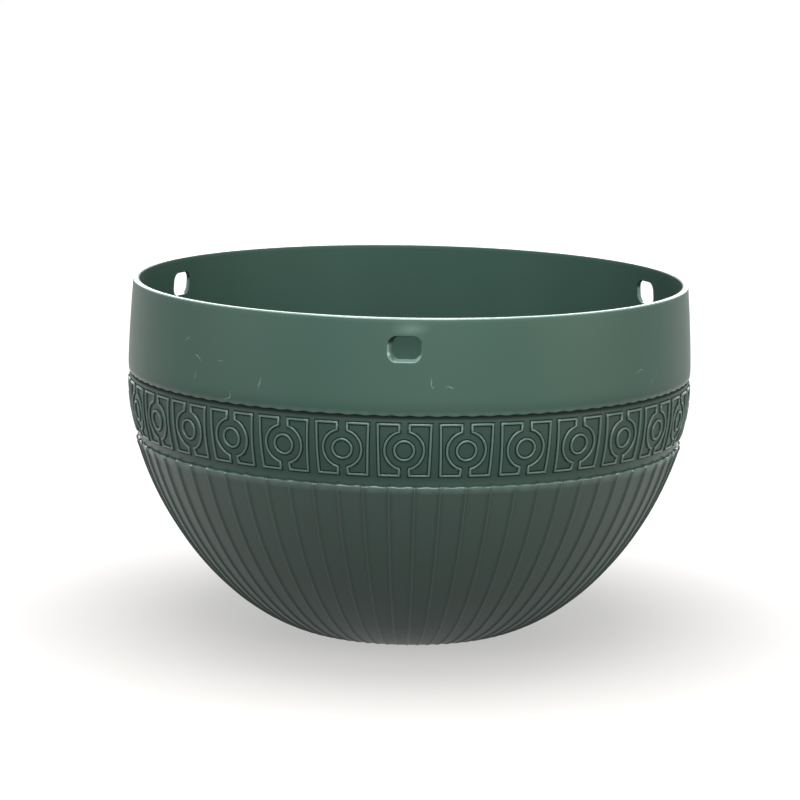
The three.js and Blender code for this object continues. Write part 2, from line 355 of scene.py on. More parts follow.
def moulded_plastic(
    name, dark, light, roughness, specular=0.16, scratches=(), highlight_strength=1.5, polish=1.0,
    grain_depth=0.00002,
):
    """A plastic with grain and flow in its gloss, painted highlights with a coat, and painted shade
    that is also dull.
    """
    material = bpy.data.materials.new(name)
    material.use_nodes = True
    tree = material.node_tree
    surface = use(tree, grain_group)
    gloss = add(
        tree, "ShaderNodeMapRange",
        {"Value": surface["Flow"], "From Min": 0.3, "From Max": 0.7,
         "To Min": roughness - GLOSS_DRIFT, "To Max": roughness + GLOSS_DRIFT},
    ).outputs["Result"]
    bump = add(
        tree, "ShaderNodeBump",
        {"Strength": 1.0, "Distance": grain_depth, "Height": surface["Grain"]},
    )
    feed(tree, tree.nodes["Principled BSDF"], {
        "Base Color": plastic_colour(tree, surface, dark, light, highlight_strength, scratches),
        "Roughness": maths(tree, "MAXIMUM", attribute(tree, "painted_shade"), gloss),
        "Specular IOR Level": specular,
        "Coat Weight": maths(tree, "MULTIPLY", attribute(tree, "painted_highlight"), polish),
        "Coat Roughness": COAT_ROUGHNESS,
        "Coat IOR": COAT_IOR,
        "Normal": bump.outputs["Normal"],
    })
    return material


# %% The scratches and the three greens
def scratch(azimuth, height, half_length, tilt, strength):
    """A scratch of the band. Its tilt is the angle in degrees from upright."""
    side = Vector((cos(radians(azimuth)), sin(radians(azimuth)), 0))
    across = side * cos(radians(tilt)) - Vector((0, 0, sin(radians(tilt))))
    centre = place(radians(azimuth), radius_at(BAND, height), height)
    return centre, across, half_length * MM, strength


# Azimuth in degrees, height and half length in millimetres, tilt in degrees, strength
SCRATCHES = [scratch(*row) for row in (
    (-48.5, 142.4, 2.7, 60, 0.9), (-44.8, 134.8, 3.6, -55, 1.0), (-45.9, 127.9, 3.0, 30, 0.9),
    (-39.0, 135.4, 2.4, 80, 0.6), (-36.8, 120.9, 3.0, 40, 0.9), (-29.2, 128.2, 3.6, 8, 1.0),
    (-71.6, 142.9, 2.7, 20, 0.8), (5.1, 132.1, 2.4, -15, 0.8), (8.5, 130.0, 2.4, 80, 0.7),
    (52.3, 131.1, 3.3, 80, 0.9), (56.8, 125.5, 1.8, 30, 0.7),
)]
green = moulded_plastic(
    "Green satin plastic", (0.037, 0.078, 0.063), (0.043, 0.088, 0.071), 0.42,
    scratches=SCRATCHES,
)
# Painted shade: the matt and etched greens are darker than the satin green.
shaded_matt_green = moulded_plastic(
    "Green matt plastic with painted shade", (0.0145, 0.0335, 0.027), (0.0175, 0.0385, 0.031), 0.42,
    specular=0.42, highlight_strength=1.4, polish=0.5,
)
shaded_etched_green = moulded_plastic(
    "Green etched plastic with painted shade", (0.0195, 0.0455, 0.037), (0.023, 0.0515, 0.042), 0.45,
    specular=0.22, highlight_strength=1.2, polish=0.5,
)
print("greens:", ", ".join(m.name for m in (green, shaded_matt_green, shaded_etched_green)))

# %% [markdown]
# ## The ribbed bowl
#
# Seventy thin ribs climb from the foot ring to the ledge under the frieze. Each could be a
# separate sweep laid on the bowl, but the real ones are moulded with it and melt into its
# skin, so they are made as swellings of one grid. The grid gives a rib eight columns of faces
# and the space between two ribs seven, which keeps the crests round without wasting faces on
# the plain parts. The ledge's edge is rounded and slightly wavy, with three waves for two ribs.

# %% Ribs and ledge
RIBS, RIB_START = 70, radians(2.0)
RIB_PITCH = 2 * pi / RIBS
RIB_COLUMNS, GAP_COLUMNS = 8, 7
# A rib at the foot ring, and what it gains on its way up to the ledge
RIB_HALF_WIDTH, RIB_WIDENING = 0.65, 0.2
RIB_HEIGHT, RIB_GROWTH = 0.55, 0.3
# A rib rises within this height of the foot ring, and sinks over the rows of the ledge's edge
RIB_FOOT = 2.5
RIB_ENDS = (1.0, 1.0, 0.75, 0.45)
WAVES, WAVE_HEIGHT = 105, 0.22
LEDGE_EDGE, LEDGE_WAVE_REACH = 0.8, 2.2
FOOT_SEAM = 42.6


def wave(azimuth):
    """The height of the wavy edges at an azimuth, from -1 to 1."""
    return sin(WAVES * azimuth)


def rib_column(column, half_width):
    """The azimuth of a column of the grid, and its share of a rib's height."""
    rib, step = divmod(column, RIB_COLUMNS + GAP_COLUMNS)
    if step <= RIB_COLUMNS:
        across = step / RIB_COLUMNS * 2 - 1
        offset, share = across * half_width, cos(across * pi / 2) ** 2
    else:
        across = (step - RIB_COLUMNS) / GAP_COLUMNS
        offset, share = half_width + across * (RIB_PITCH - 2 * half_width), 0.0
    return RIB_START + rib * RIB_PITCH + offset, share


rib_profile = [Vector((FOOT_SEAM, 0.0)), Vector((FOOT_SEAM + 0.5, 0.0)), *curve(BOWL, 30)[1:-1]]
ledge_row = len(rib_profile)
rib_profile += arc((LEDGE_RADIUS - LEDGE_EDGE, LEDGE_Z - LEDGE_EDGE), LEDGE_EDGE, 0, 90, 4)
rib_profile += [Vector((LEDGE_RADIUS - 1.9, LEDGE_Z)), Vector((LEDGE_RADIUS - 2.3, LEDGE_Z - 1.5))]
rib_crests = inward(rib_profile, -1.0)


def ribbed_point(column, row):
    """A point of the ribbed bowl: on the profile, lifted on a rib, and wavy at the ledge."""
    p = rib_profile[row]
    out = rib_crests[row] - p
    up = min(max(p.y / LEDGE_Z, 0.0), 1.0)
    azimuth, share = rib_column(column, (RIB_HALF_WIDTH + RIB_WIDENING * up) / p.x)
    share *= min(1.0, p.y / RIB_FOOT)
    beyond = row - ledge_row
    if beyond >= 0:
        share *= RIB_ENDS[beyond] if beyond < len(RIB_ENDS) else 0.0
    p = p + out * share * (RIB_HEIGHT + RIB_GROWTH * up)
    near_ledge = falloff(LEDGE_Z - p.y, LEDGE_WAVE_REACH)
    return place(azimuth, p.x, p.y + WAVE_HEIGHT * wave(azimuth) * near_ledge)


bm = bmesh.new()
bent_grid(bm, RIBS * (RIB_COLUMNS + GAP_COLUMNS), len(rib_profile) - 1, ribbed_point)
print("ribs:", RIBS, "on a grid of", len(bm.faces), "faces")

# %% [markdown]
# The ledge's rounded edge gets a painted highlight, and the rib crests get a weaker one. Painted
# shade darkens the corner beside each rib, where it meets the skin.

# %% Ribs and ledge finished
LEDGE_HIGHLIGHT, LEDGE_HIGHLIGHT_REACH = 1.2, 0.96
RIB_HIGHLIGHT, RIB_HIGHLIGHT_REACH = 0.25, 0.4
RIB_SHADE, RIB_SHADE_REACH, RIB_CORNER = 0.45, 0.4, 0.85


def off_rib(point):
    """How far a point lies to the side of the nearest rib, in millimetres."""
    azimuth = -Vector((0, -1)).angle_signed(point.xy)
    aside = (azimuth - RIB_START + RIB_PITCH / 2) % RIB_PITCH - RIB_PITCH / 2
    return abs(aside) * point.xy.length / MM


# Painted highlight on the ledge's edge and the rib crests, and painted shade in the corners beside
# the ribs.
painted_highlight = bm.verts.layers.float.new("painted_highlight")
painted_shade = bm.verts.layers.float.new("painted_shade")
for v in bm.verts:
    height, aside = v.co.z / MM, off_rib(v.co)
    ledge_highlight = LEDGE_HIGHLIGHT * falloff(abs(height - LEDGE_Z + 0.3), LEDGE_HIGHLIGHT_REACH)
    v[painted_highlight] = max(ledge_highlight, RIB_HIGHLIGHT * falloff(aside, RIB_HIGHLIGHT_REACH))
    if 4 < height < LEDGE_Z - 0.9:
        v[painted_shade] = RIB_SHADE * falloff(abs(aside - RIB_CORNER), RIB_SHADE_REACH)
print("crest and groove:", [round(max(v[k] for v in bm.verts), 2) for k in (painted_highlight, painted_shade)])
finish_mesh("ribbed_bowl", bm, shaded_matt_green, "bowl", "planter_bowl")

# %% [markdown]
# ## The frieze panel
#
# Between the ledge and the band the skin is sunk by one millimetre. It is plain under its ornament,
# so it is a spun strip. Its ends run on behind the ledge and behind the band, where nobody sees
# them, and no gap can open at either edge. Painted shade darkens it a little all over and most in
# the corner under the band, and a painted highlight makes it paler just above the ledge.

# %% Frieze panel
SUNK = 1.0
REST_SHADE, SHADE_Z = 0.12, BAND_Z - 1.9

panel_line = [Vector((LEDGE_RADIUS - 1.5, LEDGE_Z - 1.2))]
panel_line += [p - Vector((SUNK, 0)) for p in curve(FRIEZE, 30)]
panel_line += [Vector((BAND_RADIUS - 0.85, BAND_Z + 1.5))]
bm = bmesh.new()
spun(bm, panel_line, 360)
painted_shade = bm.verts.layers.float.new("painted_shade")
painted_highlight = bm.verts.layers.float.new("painted_highlight")
for v in bm.verts:
    height = v.co.z / MM
    # Painted highlight just above the ledge, and painted shade over the panel, strongest under the
    # band.
    v[painted_highlight] = 0.4 * falloff(height - LEDGE_Z, 4)
    v[painted_shade] = min(1.0, max(REST_SHADE if height > LEDGE_Z + 1 else 0.0, height - SHADE_Z))
finish_mesh("frieze_panel", bm, shaded_etched_green, "bowl", "planter_bowl")

# %% [markdown]
# ## The frieze ornament
#
# Thirty squares, twelve degrees apart, fill the frieze. Each is drawn with one thin raised bead: two
# mirrored frames that bend in round a circle, and a full ring in the middle. A bead could be a curve
# with a bevel, but that thins out at every corner. Here the outline is a flat face instead, and a
# row of insets turns its border into a bead with true corners: four of them rise and fall, and two
# flat ones on either side hold a painted dark line of shade at its foot. The bead is painted paler
# towards its top, a painted highlight. The flat square is then laid on the panel and spun round the
# bowl.

# %% A bead drawn flat
BEAD_WIDTH, BEAD_HEIGHT, FOOT_LINE = 1.2, 0.75, 0.42
# Each inset: how far it goes across and up, the painted shade at its end, and whether that is a
# corner
BEAD_STEPS = (
    (FOOT_LINE / 3, 0.0, 1.0, False),
    (FOOT_LINE * 2 / 3, 0.0, 1.0, True),
    (BEAD_WIDTH * 0.17, BEAD_HEIGHT * 0.82, 0.0, False),
    (BEAD_WIDTH * 0.33, BEAD_HEIGHT * 0.18, 0.0, False),
    (BEAD_WIDTH * 0.33, BEAD_HEIGHT * -0.18, 0.0, False),
    (BEAD_WIDTH * 0.17, BEAD_HEIGHT * -0.82, 1.0, True),
    (FOOT_LINE * 2 / 3, 0.0, 1.0, False),
    (FOOT_LINE / 3, 0.0, REST_SHADE, False),
)


def bead(bm, face):
    """Turns the border of a flat face into a raised bead, and removes the middle."""
    # The flat insets at the bead's foot get painted shade, a dark line on either side.
    painted_shade = bm.verts.layers.float.get("painted_shade") or bm.verts.layers.float.new("painted_shade")
    for v in face.verts:
        v[painted_shade] = REST_SHADE
    for across, rise, shade, corner in BEAD_STEPS:
        bmesh.ops.inset_individual(
            bm, faces=[face], thickness=across, depth=rise, use_even_offset=True,
            use_interpolate=False,
        )
        for v in face.verts:
            v[painted_shade] = shade
        for e in face.edges:
            e.smooth = not corner
    bmesh.ops.delete(bm, geom=[face], context="FACES")


# %% The square drawn flat
ORNAMENT_Z, SQUARE_HALF = 103.05, 11.15
TOP_HALF, BOTTOM_HALF = 11.25, 10.7
OUTER_RING, INNER_RING = 8.35, 4.15
NECK_HALF = 2.2


def frame_outline():
    """The right half of a square, as its bead's outer foot: bars, side, and the bite of the ring."""
    foot = BEAD_WIDTH / 2 + FOOT_LINE
    ring, neck = OUTER_RING - foot, NECK_HALF - foot
    top, bottom = SQUARE_HALF + foot, -SQUARE_HALF - foot
    start = sqrt(ring ** 2 - neck ** 2)
    turn = atan2(start, neck)
    outline = [(neck, start)] + [(x, top) for x in even(neck, TOP_HALF + foot, 4)]
    side = zip(even(TOP_HALF, BOTTOM_HALF, 12), even(top, bottom, 12))
    outline += [(half + foot, y) for half, y in side][1:]
    outline += [(x, bottom) for x in even(BOTTOM_HALF + foot, neck, 4)][1:]
    outline += [(ring * cos(a), ring * sin(a)) for a in even(-turn, turn, 22)][:-1]
    return outline


bm = bmesh.new()
outline = frame_outline()
right_half = bm.faces.new([bm.verts.new((x, y, 0)) for x, y in reversed(outline)])
right_half.normal_update()
print("half frame:", len(outline), "points, facing", tuple(round(x) for x in right_half.normal))
bead(bm, right_half)
half = bm.verts[:] + bm.edges[:] + bm.faces[:]
bmesh.ops.mirror(bm, geom=half, axis="X", merge_dist=1e-6)
ring = bmesh.ops.create_circle(
    bm, cap_ends=True, segments=40, radius=INNER_RING + BEAD_WIDTH / 2 + FOOT_LINE
)
bead(bm, ring["verts"][0].link_faces[0])
bmesh.ops.recalc_face_normals(bm, faces=bm.faces)
if sum(f.normal.z for f in bm.faces) < 0:
    bmesh.ops.reverse_faces(bm, faces=bm.faces)
print("flat square:", len(bm.faces), "faces, height", round(max(v.co.z for v in bm.verts), 2), "mm")

# %% The square laid on the panel and spun
ORNAMENTS, ORNAMENT_START = 30, radians(-0.14)
# The square's width is an arc of this radius, and its foot lies this far above the panel
ORNAMENT_RADIUS, ORNAMENT_LIFT = 126.3, 0.03

painted_highlight = bm.verts.layers.float.new("painted_highlight")
for v in bm.verts:
    across, up, height = v.co
    z = ORNAMENT_Z + up
    radius = radius_at(FRIEZE, z) - SUNK + height + ORNAMENT_LIFT
    # The bead is painted paler towards its top: a painted highlight.
    v[painted_highlight] = height / BEAD_HEIGHT
    v.co = place(ORNAMENT_START + across / ORNAMENT_RADIUS, radius, z)
bmesh.ops.spin(
    bm, geom=bm.verts[:] + bm.edges[:] + bm.faces[:], cent=(0, 0, 0), axis=(0, 0, 1),
    angle=2 * pi, steps=ORNAMENTS, use_duplicate=True, use_merge=False,
)
bmesh.ops.remove_doubles(bm, verts=bm.verts, dist=1e-6)
finish_mesh("frieze_ornament", bm, shaded_etched_green, "bowl", "planter_bowl")

# %% [markdown]
# ## The band and its lip
#
# The band stands proud of the frieze. Its lower edge rolls under and is wavy like the ledge;
# its upper edge is the lip, rounded more on the outside than on the inside. One grid runs from
# behind the lower edge up the outside, over the lip and down the inside, so lip and wall have
# no seam. Rows that pass the slots are evenly spaced, because the slots are cut along them.

# %% Band profile
BAND_COLUMNS = 630
SLOT_Z, SLOT_WIDTH, SLOT_HEIGHT, SLOT_CORNER = RIM_Z - 13.0, 15.2, 11.2, 4.0
SLOT_ROWS, SLOT_SIDE = 10, 8
PATCH_LOW, PATCH_HIGH = SLOT_Z - 8.0, SLOT_Z + 8.0
ROLL, ROLL_DEPTH, ROLL_REACH = 0.6, 0.34, 6.0
LIP_RADIUS, INNER_LIP = 0.75, 0.4
BAND_WAVE_REACH = 1.6


def skin_radius(height):
    """The band's outside radius. Near its lower edge the skin rolls under a little."""
    return radius_at(BAND, height) - ROLL_DEPTH * falloff(height - BAND_Z, ROLL_REACH) ** 2


under = [Vector((BAND_RADIUS - 1.35, BAND_Z + 0.4)), Vector((BAND_RADIUS - 0.95, BAND_Z + 0.05))]
edge_radius = skin_radius(BAND_Z + ROLL)
under += arc((edge_radius - ROLL, BAND_Z + ROLL), ROLL, -90, 0, 4)
outside = even(BAND_Z + ROLL, PATCH_LOW, 12)[1:]
outside += even(PATCH_LOW, PATCH_HIGH, SLOT_ROWS)[1:]
outside += even(PATCH_HIGH, RIM_Z - LIP_RADIUS, 3)[1:]
lip = arc((RIM_RADIUS - LIP_RADIUS, RIM_Z - LIP_RADIUS), LIP_RADIUS, 0, 90, 8)[1:]
lip += arc((RIM_RADIUS - WALL + INNER_LIP, RIM_Z - INNER_LIP), INNER_LIP, 90, 180, 4)
inside = even(RIM_Z - INNER_LIP, PATCH_HIGH, 3)[1:]
inside += even(PATCH_HIGH, PATCH_LOW, SLOT_ROWS)[1:]
inside += even(PATCH_LOW, BAND_Z, 6)[1:]
band_profile = under + [Vector((skin_radius(z), z)) for z in outside]
lip_row = len(band_profile)
band_profile += lip + [Vector((radius_at(BAND, z) - WALL, z)) for z in inside]
print("band profile:", len(band_profile), "points, the lip from", lip_row)


# %% Band grid
def band_point(column, row):
    """A point of the band. Only its lower edge is wavy."""
    azimuth = 2 * pi * column / BAND_COLUMNS
    radius, z = band_profile[row]
    near_edge = falloff(z - BAND_Z, BAND_WAVE_REACH) if row < lip_row else 0.0
    return place(azimuth, radius, z + WAVE_HEIGHT * wave(azimuth) * near_edge)


bm = bmesh.new()
bent_grid(bm, BAND_COLUMNS, len(band_profile) - 1, band_point)
print("band before the slots:", len(bm.faces), "faces")

# %% [markdown]
# ## The hanging slots
#
# Each slot is a rounded rectangle through the wall with softened edges. A boolean cut would
# leave ragged slivers across the fine grid, so a clean patch is fitted instead: the grid's
# faces around the slot are removed, a rounded rectangle is drawn flat, its rim is built with
# insets, and the finished tunnel is bent onto the wall and bridged to the hole in the grid.
# A narrow flat collar round each mouth keeps the softened edge even.

# %% One slot, drawn flat
SLOT_FILLET, SLOT_COLLAR = 0.18, 0.25


def slot_steps():
    """The insets of a tunnel: a collar, a rounded mouth, the wall, and both again inside."""
    turns = [radians(a) for a in (0, 30, 60, 90)]
    mouth = [(sin(b) - sin(a), cos(a) - cos(b)) for a, b in zip(turns, turns[1:])]
    mouth = [(across * SLOT_FILLET, down * SLOT_FILLET) for across, down in mouth]
    back = [(-across, down) for across, down in reversed(mouth)]
    wall = (0.0, WALL - 2 * SLOT_FILLET)
    return [(SLOT_COLLAR, 0.0), *mouth, wall, *back, (-SLOT_COLLAR, 0.0)]


def flat_slot(outer, inner):
    """A slot's tunnel: x across, y up, z the depth into the wall, all in millimetres.

    Each opening is given as (middle across, middle up, width, height).
    """
    slot = bmesh.new()
    bmesh.ops.create_grid(slot, x_segments=1, y_segments=1, size=0.5)
    rim = SLOT_FILLET + SLOT_COLLAR
    mouth = (SLOT_WIDTH + 2 * rim, SLOT_HEIGHT + 2 * rim, 1)
    bmesh.ops.scale(slot, vec=mouth, verts=slot.verts)
    bmesh.ops.bevel(
        slot, geom=slot.verts[:], offset=SLOT_CORNER + rim, offset_type="OFFSET",
        segments=8, profile=0.5, affect="VERTICES", material=-1,
    )
    straight = sorted(slot.edges, key=lambda e: -e.calc_length())
    bmesh.ops.bisect_edges(slot, edges=straight[:2], cuts=5)
    bmesh.ops.bisect_edges(slot, edges=straight[2:4], cuts=3)
    slot.faces.ensure_lookup_table()
    face = slot.faces[0]
    face.normal_update()
    for across, down in slot_steps():
        bmesh.ops.inset_individual(
            slot, faces=[face], thickness=across, depth=down, use_even_offset=True
        )
    bmesh.ops.delete(slot, geom=[face], context="FACES")
    for v in slot.verts:
        x, y, width, height = (a + (b - a) * v.co.z / WALL for a, b in zip(outer, inner))
        v.co.x = x + v.co.x * width / SLOT_WIDTH
        v.co.y = y + v.co.y * height / SLOT_HEIGHT
    return slot


PLAIN_SLOT = (0, 0, SLOT_WIDTH, SLOT_HEIGHT)
trial = flat_slot(PLAIN_SLOT, PLAIN_SLOT)
print("slot drawn flat:", len(trial.faces), "faces, depth",
      [round(f(v.co.z for v in trial.verts), 2) for f in (min, max)],
      "half width", round(max(v.co.x for v in trial.verts), 2))
trial.free()

# %% [markdown]
# The three slots aren't quite alike. The front one runs in at a slant and gets narrower. The
# others sit about 118 degrees to its right and 119 degrees to its left, and a little higher.

# %% The slots fitted into the band
# The grid column of a slot's middle, and its openings on the outside and on the inside
SLOTS = {
    0: ((-0.85, 0.0, 14.4, 11.0), (0.15, 0.45, 12.0, 9.6)),
    206: ((0.5, 0.8, 15.4, 10.8), (0.1, 0.8, 14.7, 10.6)),
    422: ((-0.3, 0.8, 14.2, 10.8), (0.1, 0.8, 13.3, 10.6)),
}
SLOT_AZIMUTHS = {column: 2 * pi * column / BAND_COLUMNS for column in SLOTS}
PATCH_HALF = (SLOT_SIDE + 0.3) * 2 * pi / BAND_COLUMNS
# A slot's width is an arc of this radius, and nothing of a slot is further from its middle
SLOT_RADIUS, SLOT_REACH = 126.0, 9.0


def wall_point(azimuth, across, up, depth):
    """A point of the wall: across and up from a slot's middle, and into the wall."""
    z = SLOT_Z + up
    return place(azimuth + across / SLOT_RADIUS, skin_radius(z) - depth, z)


def towards(point, azimuth):
    """How far a point lies to the side of an azimuth, in radians."""
    turned = Matrix.Rotation(-azimuth, 3, "Z") @ point
    return turned.x / -turned.y if turned.y < 0 else pi


def join(bm, piece):
    """Adds one bmesh to another."""
    mesh = bpy.data.meshes.new("joined")
    piece.to_mesh(mesh)
    piece.free()
    bm.from_mesh(mesh)
    bpy.data.meshes.remove(mesh)


for column, azimuth in SLOT_AZIMUTHS.items():
    hole = []
    for f in bm.faces:
        centre = f.calc_center_median()
        if PATCH_LOW < centre.z / MM < PATCH_HIGH and abs(towards(centre, azimuth)) < PATCH_HALF:
            hole.append(f)
    bmesh.ops.delete(bm, geom=hole, context="FACES")
    slot = flat_slot(*SLOTS[column])
    for v in slot.verts:
        v.co = wall_point(azimuth, *v.co)
    join(bm, slot)
    outer_loop, inner_loop = [], []
    for e in bm.edges:
        point = e.verts[0].co
        level = point.z / MM
        aside = abs(towards(point, azimuth))
        if e.is_boundary and abs(level - SLOT_Z) < SLOT_REACH and aside < 2 * PATCH_HALF:
            depth = skin_radius(level) - point.xy.length / MM
            (inner_loop if depth > WALL / 2 else outer_loop).append(e)
    for loop in (outer_loop, inner_loop):
        bmesh.ops.bridge_loops(bm, edges=loop)
    loops = [len(outer_loop), len(inner_loop)]
    print(f"slot at column {column}: {len(hole)} grid faces replaced, loops of {loops} edges")
bmesh.ops.recalc_face_normals(bm, faces=bm.faces)
open_edges = sum(e.is_boundary for e in bm.edges)
print("open edges:", open_edges, "of which at the ends of the band:", 2 * BAND_COLUMNS)

# %% [markdown]
# ## Painted highlights and shade on the band
#
# The lip gets the brightest painted highlight and a thin coat. The lower edge and the lower parts
# and mouths of the slots get weaker painted highlights. Painted shade darkens the band towards its
# lower edge, the ceilings of the slots and one of their sides, and thinly the inside, and a pale
# patch of painted highlight lies between the front slot and the rim.

# %% Band finished
# A point is on the lip outside this radius, and above this share of its rounding
LIP_INNER, LIP_SHARE = 123.0, 0.75
# The wall's two faces below the lip: inside of the first radius, outside of the second
INSIDE_BELOW, OUTSIDE_ABOVE = 124.6, 125.0
EDGE_HIGHLIGHT, EDGE_HIGHLIGHT_REACH = 0.4, 0.8
INSIDE_SHADE, LOW_SHADE, LOW_REACH = 0.07, 0.35, 9.0
MOUTH_HIGHLIGHT, TUNNEL_HIGHLIGHT = 0.9, 0.4
CEILING_SHADE, SIDE_SHADE = 0.9, 0.35
PALE_HIGHLIGHT, PALE_MIDDLE, PALE_SIZE = 0.5, (1.5, 154.5), (9.0, 3.0)


def in_slot(point):
    """Where a point lies in a slot: across and up from its middle, and its depth in the wall."""
    height = point.z / MM
    up = height - SLOT_Z
    if abs(up) < 7:
        depth = skin_radius(height) - point.xy.length / MM
        for azimuth in SLOT_AZIMUTHS.values():
            across = towards(point, azimuth) * SLOT_RADIUS
            if abs(across) < SLOT_REACH and 0.02 < depth < WALL - 0.02:
                return across, up, depth
    return None


def slot_finish(across, up, depth):
    """The painted highlight and the painted shade of a point in a slot. Its lower part gets a
    painted highlight, its ceiling and one side painted shade.
    """
    at_mouth = depth < SLOT_FILLET + 0.05
    highlight = MOUTH_HIGHLIGHT if at_mouth else TUNNEL_HIGHLIGHT
    side_shade = SIDE_SHADE if across < -4 and not at_mouth else 0.0
    return highlight if up < 2 else 0.0, CEILING_SHADE if up > 3 else side_shade


# Painted highlights on the lip, the band's lower edge and the slots. Painted shade low on the band,
# inside and in the slots.
painted_highlight = bm.verts.layers.float.new("painted_highlight")
painted_shade = bm.verts.layers.float.new("painted_shade")
for v in bm.verts:
    height, radius = v.co.z / MM, v.co.xy.length / MM
    below_lip = height < RIM_Z - 1
    if height > RIM_Z - LIP_RADIUS * LIP_SHARE and radius > LIP_INNER:
        v[painted_highlight] = 1.0
    elif radius > OUTSIDE_ABOVE:
        v[painted_highlight] = EDGE_HIGHLIGHT * falloff(abs(height - BAND_Z - 0.3), EDGE_HIGHLIGHT_REACH)
    if radius < INSIDE_BELOW and below_lip:
        v[painted_shade] = INSIDE_SHADE
    elif radius > OUTSIDE_ABOVE:
        v[painted_shade] = LOW_SHADE * falloff(height - BAND_Z, LOW_REACH) ** 2
    found = in_slot(v.co)
    if found:
        v[painted_highlight], v[painted_shade] = slot_finish(*found)
    # A pale patch between the front slot and the rim: a painted highlight.
    if radius > 124 and below_lip:
        across = towards(v.co, 0) * SLOT_RADIUS
        patch = falloff(abs(across - PALE_MIDDLE[0]), PALE_SIZE[0])
        patch *= falloff(abs(height - PALE_MIDDLE[1]), PALE_SIZE[1])
        v[painted_highlight] = max(v[painted_highlight], PALE_HIGHLIGHT * patch)
finish_mesh("band_and_lip", bm, green, "bowl", "planter_bowl")

# %% [markdown]
# ## Inside and underside
#
# Below the band the inside follows the outside, one wall thickness further in, down to a flat
# floor with a drain hole. Underneath, a foot ring carries the bowl and the rest of the base is
# set back from the table. None of this changes on the way round, so it is one spun profile.

# %% Lining, floor and foot ring
FLOOR_Z, RECESS_Z, HOLE_RADIUS, FOOT_INNER = 5.0, 2.5, 7.0, 37.5

lining = [Vector((radius_at(BAND, BAND_Z + 1) - WALL + 0.03, BAND_Z + 1))]
lining += [p - Vector((WALL, 0)) for p in curve(FRIEZE, 10)][::-1]
lining += [p for p in inward(curve(BOWL, 30), WALL) if p.y > FLOOR_Z + 1.2][::-1][1:]
wall_foot = lining[-1].x
lining += [Vector(p) for p in (
    (wall_foot - 3.0, FLOOR_Z + 0.35), (wall_foot - 6.0, FLOOR_Z), (30, FLOOR_Z),
    (HOLE_RADIUS + 0.4, FLOOR_Z), (HOLE_RADIUS, FLOOR_Z - 0.4),
    (HOLE_RADIUS, RECESS_Z + 0.3), (HOLE_RADIUS + 0.3, RECESS_Z), (25, RECESS_Z),
    (FOOT_INNER - 0.8, RECESS_Z), (FOOT_INNER, RECESS_Z - 0.6),
    (FOOT_INNER, 0.5), (FOOT_INNER + 0.5, 0.0), (FOOT_SEAM, 0.0),
)]
bm = bmesh.new()
spun(bm, lining, 300)
bmesh.ops.recalc_face_normals(bm, faces=bm.faces)
print("lining faces up on the floor:", any(f.normal.z > 0.99 for f in bm.faces))
finish_mesh("lining_and_base", bm, green, "bowl", "planter_bowl")

# %% [markdown]
# ## The drainage platform
#
# The platform is a perforated plate on four crossed legs. Its construction in the frame is
# already right, so its mesh is copied, merged and given small rounded edges with a Bevel
# modifier, which only works on faces that share their corners.

# %% Platform
inner_green = moulded_plastic(
    "Green platform plastic", (0.017, 0.05, 0.04), (0.021, 0.058, 0.046), 0.5, highlight_strength=0.6,
    grain_depth=0.00003,
)
plate = bmesh.new()
plate.from_mesh(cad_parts["drainage_platform"].data)
bmesh.ops.remove_doubles(plate, verts=plate.verts, dist=1e-6)
bmesh.ops.dissolve_limit(
    plate, angle_limit=radians(1), verts=plate.verts, edges=plate.edges,
)
platform = finish_mesh(
    "platform_plate", plate, inner_green, "platform", "drainage_platform",
    smooth=False,
)
rounding = platform.modifiers.new("Rounded edges", "BEVEL")
rounding.width = 0.3 * MM
rounding.segments = 2
rounding.limit_method = "ANGLE"
rounding.angle_limit = radians(40)

# %% [markdown]
# ## The drain plug
#
# A soft rubber bung: a wide flange under the base and a short stem that grips the hole. It is
# one spun profile with round edges and a small dimple for a thumb underneath.

# %% Rubber and plug
rubber = moulded_plastic(
    "Black rubber", (0.012, 0.012, 0.012), (0.02, 0.02, 0.019), 0.72, highlight_strength=0.3,
    grain_depth=0.00005,
)
STEM, PLUG_TOP = HOLE_RADIUS - 0.3, 6.5

plug = [Vector((0, 0.95)), Vector((3.5, 0.75)), Vector((6.5, 0.6))]
plug += arc((11.5, 1.1), 0.5, -90, 0, 4) + arc((11.6, 1.8), 0.4, 0, 90, 4)
plug += [Vector((STEM + 0.3, 2.2)), Vector((STEM, 2.45)), Vector((STEM, 5.6))]
plug += arc((STEM - 0.8, PLUG_TOP - 0.8), 0.8, 0, 90, 4) + [Vector((0, PLUG_TOP))]
bm = bmesh.new()
spun(bm, plug, 64)
bmesh.ops.recalc_face_normals(bm, faces=bm.faces)
finish_mesh("rubber_plug", bm, rubber, "plug", "drain_plug")

# %% [markdown]
# ## Floor and background
#
# A pale floor carries the bowl's shadow. Seen from below it lets the eye through, so that the
# underside can be looked at. The camera and mirror-like rays see the floor and the room as
# white. A share of plain diffuse floor is kept, most of it close to the bowl, so that the
# shadow still shows.

# %% Floor
GROUND_RADIUS, GROUND_DROP = 14, 0.0001
GLOW_FROM, GLOW_TO = (0.06, 0.48), (0.28, 0.95)


def white_for_the_eye(tree):
    """1 for rays that the camera sees directly, mirrored or through glass, and 0 for others."""
    path = add(tree, "ShaderNodeLightPath").outputs
    seen = maths(tree, "MAXIMUM", path["Is Camera Ray"], path["Is Glossy Ray"])
    return maths(tree, "MAXIMUM", seen, path["Is Transmission Ray"])


